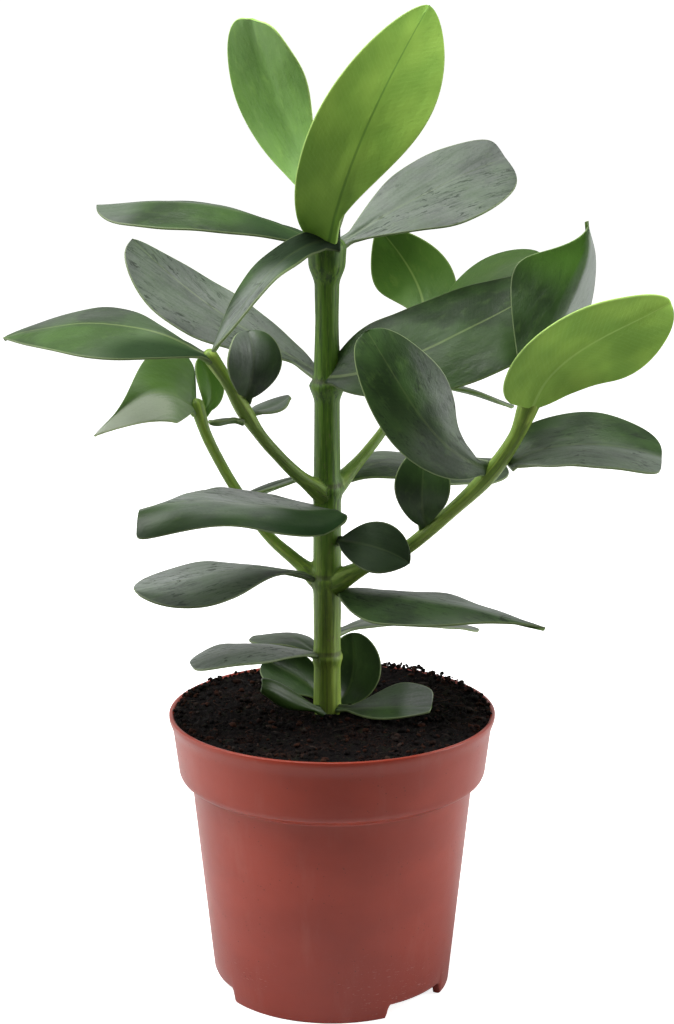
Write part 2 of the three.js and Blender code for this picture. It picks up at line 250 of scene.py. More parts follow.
def roundedProfile(corners):
    # corners are (radius, height, rounding); each rounded corner becomes a short curve
    out = []
    for i, (r, z, rounding) in enumerate(corners):
        here = np.array([r, z], float)
        if rounding == 0:
            out.append(here)
            continue
        before = np.array(corners[i - 1][:2], float) - here
        after = np.array(corners[i + 1][:2], float) - here
        cut = min(rounding, 0.45 * np.linalg.norm(before), 0.45 * np.linalg.norm(after))
        start = here + unit(before) * cut
        end = here + unit(after) * cut
        for s in np.linspace(0, 1, 5):
            out.append((1 - s) ** 2 * start + 2 * s * (1 - s) * here + s ** 2 * end)
    return np.array(out)


def longSplit(profile, longest):
    # more points on long straight stretches, so that bends have something to hold
    out = [profile[0]]
    for a, b in zip(profile[:-1], profile[1:]):
        parts = max(1, math.ceil(np.linalg.norm(b - a) / longest))
        out.extend(a + (b - a) * k / parts for k in range(1, parts + 1))
    return np.array(out)


def potProfile():
    # from the middle of the floor's underside, out and up the outside, and down the inside
    p = pot
    lipZ = p["height"] - p["lipHeight"]
    foot = p["footRadius"]
    return longSplit(roundedProfile([
        (0, p["floorZ"], 0),
        (foot - p["footRing"], p["floorZ"], 0.4),
        (foot - p["footRing"], 0, 0.4),
        (foot, 0, 0.9),
        (p["bodyTopRadius"], p["shoulderZ"], 0.7),
        (p["collarFootRadius"] - 0.7, p["shoulderZ"] + 2.2, 1.3),
        (p["collarFootRadius"], p["collarFootZ"], 0.9),
        (p["collarTopRadius"], lipZ - 2.8, 2.4),
        (p["rimRadius"], lipZ + 0.9, 1.2),
        (p["rimRadius"], p["height"], 0.9),
        (p["rimRadius"] - p["lipWall"], p["height"], 0.6),
        (p["collarTopRadius"] - p["wall"], lipZ, 0.8),
        (p["collarFootRadius"] - p["wall"], p["collarFootZ"], 1.0),
        (p["bodyTopRadius"] - p["wall"], p["shoulderZ"], 0.8),
        (foot - p["wall"] + 0.5, p["floorZ"] + p["wall"], 0.5),
        (0, p["floorZ"] + p["wall"], 0),
    ]), p["longest"])


def roundFromGap(angles, azimuth):
    # how far round from the middle of a gap each angle lies
    middle = math.radians(azimuth - 90)
    return (angles - middle + math.pi) % fullTurn - math.pi


def footLift(angles):
    # how far the foot ring is cut away at each angle
    halfGap = pot["gapWidth"] / 2
    lift = np.zeros_like(angles)
    for azimuth in pot["gapAzimuths"]:
        aside = np.abs(roundFromGap(angles, azimuth)) * pot["footRadius"]
        low, high = [halfGap + past for past in pot["gapSlope"]]
        lift = np.maximum(lift, 1 - smoothStep(aside, low, high))
    return lift * pot["gapHeight"]


def makePot(material):
    profile = potProfile()
    sides = pot["sides"]
    angles = roundTurn(sides)
    for azimuth in pot["gapAzimuths"]:
        near = roundFromGap(angles, azimuth)
        for side in (-1, 1):
            slope = side * (pot["gapWidth"] / 2 - pot["gatherInside"]) / pot["footRadius"]
            pull = np.exp(-((near - slope) / pot["gatherReach"]) ** 2)
            angles = angles - pot["gather"] * (near - slope) * pull
    radius = profile[1:-1, 0][:, None] * np.ones_like(angles)
    height = profile[1:-1, 1][:, None] * np.ones_like(angles)
    reach = pot["gapHeight"] + 1
    height = height + footLift(angles) * np.clip(1 - height / reach, 0, 1)
    share = smoothStep(height, pot["shoulderZ"], pot["height"])
    radius = radius + pot["wobble"] * share * np.sin(2 * angles + 0.7)
    points = np.stack([radius * np.cos(angles), radius * np.sin(angles), height], -1).reshape(-1, 3)
    rings = len(profile) - 2
    faces = ringFaces(rings, sides, startCap=False, endCap=False)
    low, high = len(points), len(points) + 1
    for j in range(sides):
        k = (j + 1) % sides
        faces.append((low, k, j))
        faces.append((high, (rings - 1) * sides + j, (rings - 1) * sides + k))
    points = np.vstack([points, [0, 0, profile[0, 1]], [0, 0, profile[-1, 1]]])
    piece = makePiece("growerPot", points * mm, faces, material)
    cutDrainHoles(piece)
    piece.data.set_sharp_from_angle(angle=math.radians(pot["sharpFrom"]))
    finished(piece, "pot_plastic", "pot")


def cutDrainHoles(piece):
    points, faces = [], []
    for i in range(pot["holes"]):
        turn = (i + 0.5) * fullTurn / pot["holes"]
        middle = Vector((math.cos(turn), math.sin(turn), 0)) * pot["holeCircle"]
        faces += shifted(ringFaces(2, pot["holeSides"]), len(points))
        for z in (pot["floorZ"] - pot["holeSpare"], pot["floorZ"] + pot["wall"] + pot["holeSpare"]):
            for k in range(pot["holeSides"]):
                a = fullTurn * k / pot["holeSides"]
                reach = pot["holeRadius"]
                points.append((middle.x + reach * math.cos(a), middle.y + reach * math.sin(a), z))
    cutter = makePiece("drainCutter", np.array(points) * mm, faces, piece.data.materials[0])
    cut = piece.modifiers.new("drain", "BOOLEAN")
    cut.operation = "DIFFERENCE"
    cut.object = cutter
    cut.solver = "EXACT"
    applied(piece)
    bpy.data.objects.remove(cutter)


def potFinish():
    s = Nodes(bpy.data.materials.new("terracottaPlastic"))
    tint = pot["tints"]
    where = s.where()
    z = s.split(where)[2]
    haze = s.cloud(where, (0.03, 0.03, 0.05), detail=3)
    grain = s.cloud(where, (1.9, 1.9, 1.9), detail=3, rough=0.6)
    chalk = s.rise(s.cloud(where, (0.09, 0.09, 0.022), detail=4, rough=0.65), 0.52, 0.74)
    # dry soil smeared under the lip and thrown on the collar
    near = s.rise(z, pot["collarFootZ"] - 4, pot["height"])
    smear = s.rise(s.cloud(where, (0.28, 0.28, 0.16), detail=5, rough=0.7), 0.60, 0.74)
    specks = 1 - s.rise(s.cells(where, (0.42, 0.42, 0.42)), 0.05, 0.13)
    few = s.rise(s.cloud(where, (0.05, 0.05, 0.07), detail=1), 0.5, 0.62)
    dirt = smear * near * 0.35 + specks * few * 0.7
    # short scuffs low on the body
    low = 1 - s.rise(z, *pot["scuffs"])
    lines = s.rise(s.cloud(where, (0.5, 0.5, 3.2), bend=0.6), 0.66, 0.72)
    scuff = lines * low * s.rise(haze, 0.5, 0.6)
    body = s.layers(tint["plastic"],
                    (tint["deep"], s.rise(haze, 0.35, 0.68) * 0.55),
                    # painted shade: the foot tint darkens the body towards the bottom
                    (tint["foot"], (1 - s.rise(z, 0, pot["footShade"])) * 0.55),
                    (tint["chalk"], chalk * 0.07),
                    (tint["soilDust"], dirt),
                    (tint["scuff"], scuff * 0.5))
    rough = 0.28 + haze * 0.08 + grain * 0.05 + dirt * 0.3 + scuff * 0.12
    return s.surface({"Base Color": body, "Roughness": rough, "IOR": 1.5,
                      "Normal": s.bumps((grain, 0.00004), (haze, 0.00035)),
                      "Specular IOR Level": 0.42, "Coat Weight": 0.12, "Coat Roughness": 0.28})


soil = {
    "topZ": 104.0, "sink": 0.2,                # the surface lies this far below topZ on the whole
    "edgeFrom": 0.93, "edgeCalm": 0.6, "edgeRise": 0.5,        # calmer and a little higher at the rim
    "hump": 0.8, "lump": 1.3, "grit": 1.1,     # unevenness, from wide to fine, and how close together
    "humpScale": 0.045, "lumpScale": 0.16, "gritScale": 0.55,
    "rings": 84, "sides": 300,
    "gap": 0.25, "footGap": 0.3,               # clear of the pot's wall, and of its steps and floor
    "crumbs": 3600, "crumbSize": (0.28, 1.15), "crumbFlat": (0.55, 0.9), "crumbRough": 0.8,
    "crumbMargin": 1.0,                        # crumbs stay this far from the pot's wall
    "rimCrumbs": 380, "rimCrumbSize": (0.3, 1.0),
    "rimBand": (-2.5, 0.4),                    # rim crumbs lie between these distances past that margin
    "heapAround": [(8, 26), (62, 22), (170, 30)],              # degrees round, and spread
    "heap": 2.4, "heapSpan": (0.5, 1.7), "heapElsewhere": 1.4,         # heap heights; the span in radians
    "fibres": 160, "fibreLength": (2, 6), "fibreThick": (0.15, 0.32), "seed": 8,
    "tints": {"black": "0c0a0b", "peat": "181312", "rust": "4a2a1c", "moss": "2c3122", "grey": "453d38"},
}


def soilZ(x, y, share):
    # the surface at a place whose share of the way from the middle to the rim is given
    p = Vector((x, y, 0))
    slow = noise.noise(p * soil["humpScale"])
    lumps = noise.fractal(p * soil["lumpScale"], 0.9, 2.1, 4)
    grit = noise.fractal(p * soil["gritScale"] + Vector((9, 4, 2)), 0.8, 2.0, 3)
    rough = soil["hump"] * slow + soil["lump"] * abs(lumps) * 1.3 + soil["grit"] * grit
    edge = float(smoothStep(share, soil["edgeFrom"], 1.0))
    return soil["topZ"] - soil["sink"] + rough * (1 - soil["edgeCalm"] * edge) + soil["edgeRise"] * edge


def makeSoil(material):
    sides = soil["sides"]
    gap = soil["gap"]
    outer = pot["rimRadius"] - pot["lipWall"] - gap
    angles = roundTurn(sides)
    rings = []
    for k in range(1, soil["rings"] + 1):
        share = k / soil["rings"]
        r = outer * share
        z = [soilZ(r * math.cos(a), r * math.sin(a), share) for a in angles]
        rings.append(np.stack([r * np.cos(angles), r * np.sin(angles), z], -1))
    below = [
        (pot["collarTopRadius"] - pot["wall"] - gap, pot["height"] - pot["lipHeight"] - 2.2),
        (pot["collarFootRadius"] - pot["wall"] - gap, pot["collarFootZ"] + soil["footGap"]),
        (pot["bodyTopRadius"] - pot["wall"] - gap, pot["shoulderZ"] + soil["footGap"]),
        (pot["footRadius"] - pot["wall"] - 0.1, pot["floorZ"] + pot["wall"] + soil["footGap"]),
    ]
    for r, z in below:
        rings.append(np.stack([r * np.cos(angles), r * np.sin(angles), np.full(sides, z)], -1))
    points = np.vstack(rings)
    faces = [tuple(reversed(face)) for face in ringFaces(len(rings), sides, startCap=False)]
    top = len(points)
    faces += [(top, j, (j + 1) % sides) for j in range(sides)]
    points = np.vstack([points, [0, 0, soil["topZ"]]])
    piece = makePiece("pottingSoil", points * mm, faces, material, {"crumb": np.zeros_like(points)})
    finished(piece, "potting_soil", "soil")


def lump(size, flat):
    # a small angular clod: a rough ball
    ball = bmesh.new()
    bmesh.ops.create_icosphere(ball, subdivisions=1, radius=1.0)
    shift = Vector((random.uniform(0, 90), random.uniform(0, 90), random.uniform(0, 90)))
    stretch = Vector((random.uniform(0.7, 1.35), random.uniform(0.7, 1.35), flat))
    points = []
    for v in ball.verts:
        swell = 1 + soil["crumbRough"] * noise.noise(v.co * 1.7 + shift)
        points.append(Vector([v.co[i] * stretch[i] for i in range(3)]) * (size * swell))
    faces = [tuple(v.index for v in f.verts) for f in ball.faces]
    ball.free()
    return points, faces


def fibre(length, thick):
    # a bent three-sided shred of root or bark
    bend = random.uniform(-0.5, 0.5)
    points = []
    for k in range(5):
        s = k / 4
        girth = thick * (1 - 0.6 * abs(2 * s - 1))
        for n in range(3):
            a = fullTurn * n / 3
            points.append(Vector((length * (s - 0.5), bend * length * (s - s * s) + girth * math.cos(a),
                                  girth * math.sin(a))))
    return points, ringFaces(5, 3)


def makeCrumbs(material):
    # loose clods and shreds lying on the soil, some heaped against the rim
    random.seed(soil["seed"])
    points, faces, tints = [], [], []
    wall = pot["rimRadius"] - pot["lipWall"]
    inner = wall - soil["crumbMargin"]

    def lay(shape, away, a, above, tint):
        x, y = away * math.cos(a), away * math.sin(a)
        z = soilZ(x, y, math.hypot(x, y) / wall) + above
        turn = Matrix.Rotation(random.uniform(0, fullTurn), 3, "Z")
        tip = Matrix.Rotation(random.uniform(-0.5, 0.5), 3, "X")
        faces.extend(shifted(shape[1], len(points)))
        points.extend(turn @ (tip @ p) + Vector((x, y, z)) for p in shape[0])
        tints.extend([tint] * len(shape[0]))

    least, more = soil["crumbSize"]
    for i in range(soil["crumbs"]):
        away = inner * math.sqrt(random.random())
        a = random.uniform(0, fullTurn)
        size = least + more * random.random() ** 5
        tint = (random.random(), random.random(), 0)
        lay(lump(size, random.uniform(*soil["crumbFlat"])), away, a, 0.25 * size, tint)
    for i in range(soil["rimCrumbs"]):
        a = math.radians(random.choice([random.gauss(*around) for around in soil["heapAround"]]))
        away = random.uniform(inner + soil["rimBand"][0], inner + soil["rimBand"][1])
        size = random.uniform(*soil["rimCrumbSize"])
        tint = (random.random(), random.random(), 0)
        heaped = soil["heapSpan"][0] < a < soil["heapSpan"][1]
        highest = soil["heap"] if heaped else soil["heapElsewhere"]
        lay(lump(size, 0.9), away, a, random.uniform(0.3, highest), tint)
    for i in range(soil["fibres"]):
        away = (inner - 3) * math.sqrt(random.random())
        a = random.uniform(0, fullTurn)
        tint = (random.uniform(0.5, 1), random.random(), 1)
        shred = fibre(random.uniform(*soil["fibreLength"]), random.uniform(*soil["fibreThick"]))
        lay(shred, away, a, 0.6, tint)
    piece = makePiece("soilCrumbs", np.array(points) * mm, faces, material, {"crumb": tints})
    finished(piece, "potting_soil")


def soilFinish():
    s = Nodes(bpy.data.materials.new("pottingSoil"))
    tint = soil["tints"]
    where = s.where()
    kind, drift, shred = s.split(s.attribute("crumb"))
    fine = s.cloud(where, (1.6, 1.6, 1.6), detail=5, rough=0.7)
    patch = s.cloud(where, (0.11, 0.11, 0.11), detail=3)
    damp = s.cloud(where, (0.2, 0.2, 0.2))
    body = s.layers(tint["black"],
                    (tint["peat"], s.rise(fine, 0.35, 0.65)),
                    (tint["rust"], s.rise(patch, 0.47, 0.66) * s.rise(fine, 0.45, 0.7) * 0.5),
                    (tint["moss"], s.rise(damp, 0.58, 0.7) * 0.3),
                    (tint["rust"], s.rise(kind, 0.6, 1.0) * 0.55),
                    (tint["grey"], s.rise(drift, 0.86, 1.0) * 0.5 + shred * 0.35))
    return s.surface({"Base Color": body, "Roughness": 0.82 + fine * 0.15,
                      "Normal": s.bumps((fine, 0.0005)), "Specular IOR Level": 0.12})


stem = {
    "x": -1.8, "sides": 40, "step": 0.9,
    "girth": [                                 # [height, radius] up the trunk
        [66, 3.2], [88, 4.6], [103, 5.1], [121, 4.9], [125.5, 5.5], [130, 4.9],
        [149, 5.1], [154.5, 6.1], [160, 5.1], [183, 5.0], [188.5, 5.9], [194, 4.8],
        [220, 4.6], [226, 6.2], [231, 4.7], [250, 4.2], [262, 4.4],
        [270, 6.6], [276, 6.9], [280, 4.2],
    ],
    "scars": [127.2, 156.4, 190.2, 228.3],     # rings where leaf pairs and scales have sat
    "scarDeep": 0.35, "scarLip": 0.25,
    "branches": [
        {"points": [[-4, 0, 154], [-14, 2, 162], [-24, 4, 171], [-35, 6, 187],
                    [-41, 8, 197], [-46, 10, 207], [-49, 11, 217]],
         "radii": [2.9, 2.4, 2.1, 2.0, 2.0, 2.1, 2.7]},
        {"points": [[1, -2, 154], [14, -6, 162], [26, -9, 168], [42, -14, 183],
                    [55, -18, 197], [64, -21, 211], [69, -22, 224]],
         "radii": [3.0, 2.6, 2.5, 2.5, 3.1, 2.7, 3.8]},
        {"points": [[-3, -2, 187], [-12, -8, 195], [-19, -12, 203], [-25, -16, 211],
                    [-31, -19, 221], [-36, -23, 231], [-42, -26, 241]],
         "radii": [2.8, 2.4, 2.2, 2.2, 2.9, 2.3, 2.8]},
        {"points": [[0, 2, 187], [12, 11, 199], [20, 19, 208], [28, 27, 220], [33, 33, 231], [34, 37, 240]],
         "radii": [2.6, 2.0, 1.8, 2.1, 1.8, 2.4]},
    ],
    "branchSides": 28, "branchSteps": 12,
    "collar": 0.45, "collarReach": 0.55,       # swelling where a branch leaves the trunk
    "roundEnd": [25, 45, 62, 76, 86],          # degrees round the end of a branch
    "ribs": 0.025, "voxel": 0.55, "soften": 0.6, "softenings": 5, "grainApart": 300,
    "trunkPaintedLight": (40, 130),                     # painted light: the trunk's colour is lightened below, fading out between these distances up it, and darker above
    "tints": {"green": "5f8624", "deep": "365717", "light": "adc955", "cork": "8a7a58", "scar": "4a4a2c"},
}


def easedBetween(knots, values, where):
    # smooth from one value to the next, never past either
    knots, values = np.asarray(knots, float), np.asarray(values, float)
    k = np.clip(np.searchsorted(knots, where, side="right") - 1, 0, len(knots) - 2)
    s = smoothStep((where - knots[k]) / (knots[k + 1] - knots[k]), 0, 1)
    return values[k] + (values[k + 1] - values[k]) * s


def throughPoints(points, steps):
    # a smooth curve through the points, steps to each span
    p = np.asarray(points, float)
    p = np.vstack([2 * p[0] - p[1], p, 2 * p[-1] - p[-2]])
    out = []
    for i in range(1, len(p) - 2):
        for k in range(steps + (i == len(p) - 3)):
            s = k / steps
            out.append(0.5 * (2 * p[i] + (p[i + 1] - p[i - 1]) * s
                              + (2 * p[i - 1] - 5 * p[i] + 4 * p[i + 1] - p[i + 2]) * s ** 2
                              + (3 * p[i] - p[i - 1] - 3 * p[i + 1] + p[i + 2]) * s ** 3))
    return np.array(out)


def trunkRun():
    heights = np.arange(stem["girth"][0][0], stem["girth"][-1][0] + 0.1, stem["step"])
    radius = easedBetween(*zip(*stem["girth"]), heights)
    for z in stem["scars"]:
        radius = radius - stem["scarDeep"] * np.exp(-((heights - z) / 0.8) ** 2)
        radius = radius + stem["scarLip"] * np.exp(-((heights - z + 2.2) / 1.2) ** 2)
    line = np.stack([np.full_like(heights, stem["x"]), np.zeros_like(heights), heights], -1)
    return line, radius, stem["sides"]


def branchRun(branch):
    line = throughPoints(branch["points"], stem["branchSteps"])
    spots = np.linspace(0, len(branch["points"]) - 1, len(line))
    radius = easedBetween(range(len(branch["radii"])), branch["radii"], spots)
    radius = radius * (1 + stem["collar"] * np.exp(-(spots / stem["collarReach"]) ** 2))
    ahead, last = unit(line[-1] - line[-2]), radius[-1]
    turns = np.radians(stem["roundEnd"])
    line = np.vstack([line, line[-1] + ahead * (last * np.sin(turns))[:, None]])
    radius = np.concatenate([radius, last * np.cos(turns)])
    return line, radius, stem["branchSides"]


def waysOf(line):
    # at each point of a line: the way along it, and two ways across
    along = unit(np.gradient(line, axis=0))
    across = unit(np.cross([0, 1, 0], along))
    return along, across, np.cross(along, across)


def makeStem(material):
    # the trunk and its branches, grown into one skin
    runs = [trunkRun()] + [branchRun(branch) for branch in stem["branches"]]
    points, faces = [], []
    for line, radius, sides in runs:
        across, other = waysOf(line)[1:]
        angles = roundTurn(sides)
        rib = 1 + stem["ribs"] * (np.sin(5 * angles + 0.4) + 0.6 * np.sin(9 * angles))
        faces += shifted(ringFaces(len(line), sides), len(points))
        for k in range(len(line)):
            for n, a in enumerate(angles):
                away = across[k] * math.cos(a) + other[k] * math.sin(a)
                points.append(line[k] + away * radius[k] * rib[n])
    piece = makePiece("greenStem", np.array(points) * mm, faces, material)
    merge = piece.modifiers.new("grownTogether", "REMESH")
    merge.mode = "VOXEL"
    merge.voxel_size = stem["voxel"] * mm
    merge.use_smooth_shade = True
    soften = piece.modifiers.new("soften", "SMOOTH")
    soften.factor = stem["soften"]
    soften.iterations = stem["softenings"]
    mesh = applied(piece)
    place = np.empty(len(mesh.vertices) * 3)
    mesh.vertices.foreach_get("co", place)
    grain, run = grainAlong(place.reshape(-1, 3) / mm, runs)
    addMark(mesh, "grain", grain)
    addMark(mesh, "run", run)
    finished(piece, "green_stem", "stem")


def grainAlong(place, runs):
    # for each point: where it lies across and along its own trunk or branch, and how much its colour is
    # lightened, on a branch towards its tip and on the trunk low down as painted light; the trunk comes
    # first, and each run has its own stretch of grain
    best = np.full(len(place), np.inf)
    grain = np.zeros((len(place), 3))
    run = np.zeros((len(place), 3))
    for n, (line, radius, sides) in enumerate(runs):
        direction, across, other = waysOf(line)
        length = lengthAlong(line)
        gap = place[:, None, :] - line[None, :, :]
        near = np.argmin((gap ** 2).sum(-1), axis=1)
        away = gap[np.arange(len(place)), near]
        apart = np.linalg.norm(away, axis=1) - radius[near]
        closer = apart < best
        best = np.where(closer, apart, best)
        along = length[near] + (away * direction[near]).sum(-1)
        spaced = along + stem["grainApart"] * n
        mine = np.stack([(away * across[near]).sum(-1), (away * other[near]).sum(-1), spaced], -1)
        if n == 0:
            # painted light: the trunk's colour is lightened low down
            young = 1.1 - 1.1 * smoothStep(along, *stem["trunkPaintedLight"])
        else:
            young = 0.55 + 0.45 * along / length[-1]
        grain[closer] = mine[closer]
        run[closer] = np.stack([along, young, np.full(len(place), min(n, 1))], -1)[closer]
    return grain, run


def stemFinish():
    s = Nodes(bpy.data.materials.new("greenStem"))
    tint = stem["tints"]
    grain = s.attribute("grain")
    along, young, isBranch = s.split(s.attribute("run"))
    streak = s.cloud(grain, (0.9, 0.9, 0.035), detail=4, rough=0.6)
    fine = s.cloud(grain, (2.6, 2.6, 0.16), detail=3, rough=0.6)
    slow = s.cloud(grain, (0.2, 0.2, 0.05))
    stripe = s.rise(s.cloud(grain, (0.55, 0.55, 0.012)), 0.47, 0.6)
    corky = s.rise(s.cloud(grain, (1.5, 1.5, 0.5), detail=3, rough=0.7), 0.58, 0.67)
    corky = corky * s.rise(slow, 0.48, 0.62)
    scars = 0.0
    for z in stem["scars"]:
        place = z - stem["girth"][0][0]
        ring = 1 - s.rise(s.math("ABSOLUTE", along - place), 0.4, 1.2)
        scars = ring * (1 - isBranch) + scars
    # young also carries the painted light on the low trunk
    light = s.rise(fine, 0.5, 0.72) * 0.25 + stripe * young * 0.5 + young * 0.34
    body = s.layers(tint["deep"],
                    (tint["green"], s.rise(streak, 0.34, 0.6)),
                    (tint["light"], light),
                    (tint["cork"], corky * 0.6),
                    (tint["scar"], scars * 0.55))
    return s.surface({"Base Color": body, "Roughness": 0.42 + fine * 0.16 + corky * 0.2, "IOR": 1.48,
                      "Normal": s.bumps((streak, 0.00025), (fine + corky * 0.8, 0.00012)),
                      "Coat Weight": 0.15, "Coat Roughness": 0.35})


# Each leaf: four points along its midrib from stem to tip, and the way its upper face looks
# (faceTip where it turns towards the tip). The values that differ between its halves are
# [left, right], seen from above with the tip away. Missing values are the ordinary leaf's.
ordinaryLeaf = {
    "wide": 36, "widest": 0.6, "taper": 0.8, "point": 0.5, "stalk": 6,
    "fold": 6, "curl": 0,    # degrees that a half rises at the midrib, and more of it to the margin
    "wave": 0.3,             # ripple of the margin
    "pinch": None,           # (along, reach, [left, right] share) where a half narrows
    "shear": 0,              # how far a blunt tip leans forward at its margin
    "paintedSheen": 0,              # painted sheen: a grey standing in for reflected light
    # patches: (what, place along, place across from -1 to 1, reach along, reach across, share); they add
    # painted sheen, a lighter green that is partly painted light, painted shade, or lightening and darkening
    # that is partly painted light and shade
    "zones": [],
    "ribPale": 0.08,         # midrib paler above 0, darker below
    "toneAndPaintedLight": 0.0,             # lighter above 0, darker below; partly painted light and shade
    "fleck": 0.25,           # dark flecks
    "young": False,
}
perHalf = ["wide", "widest", "taper", "point", "fold", "curl", "shear", "paintedSheen", "fleck"]

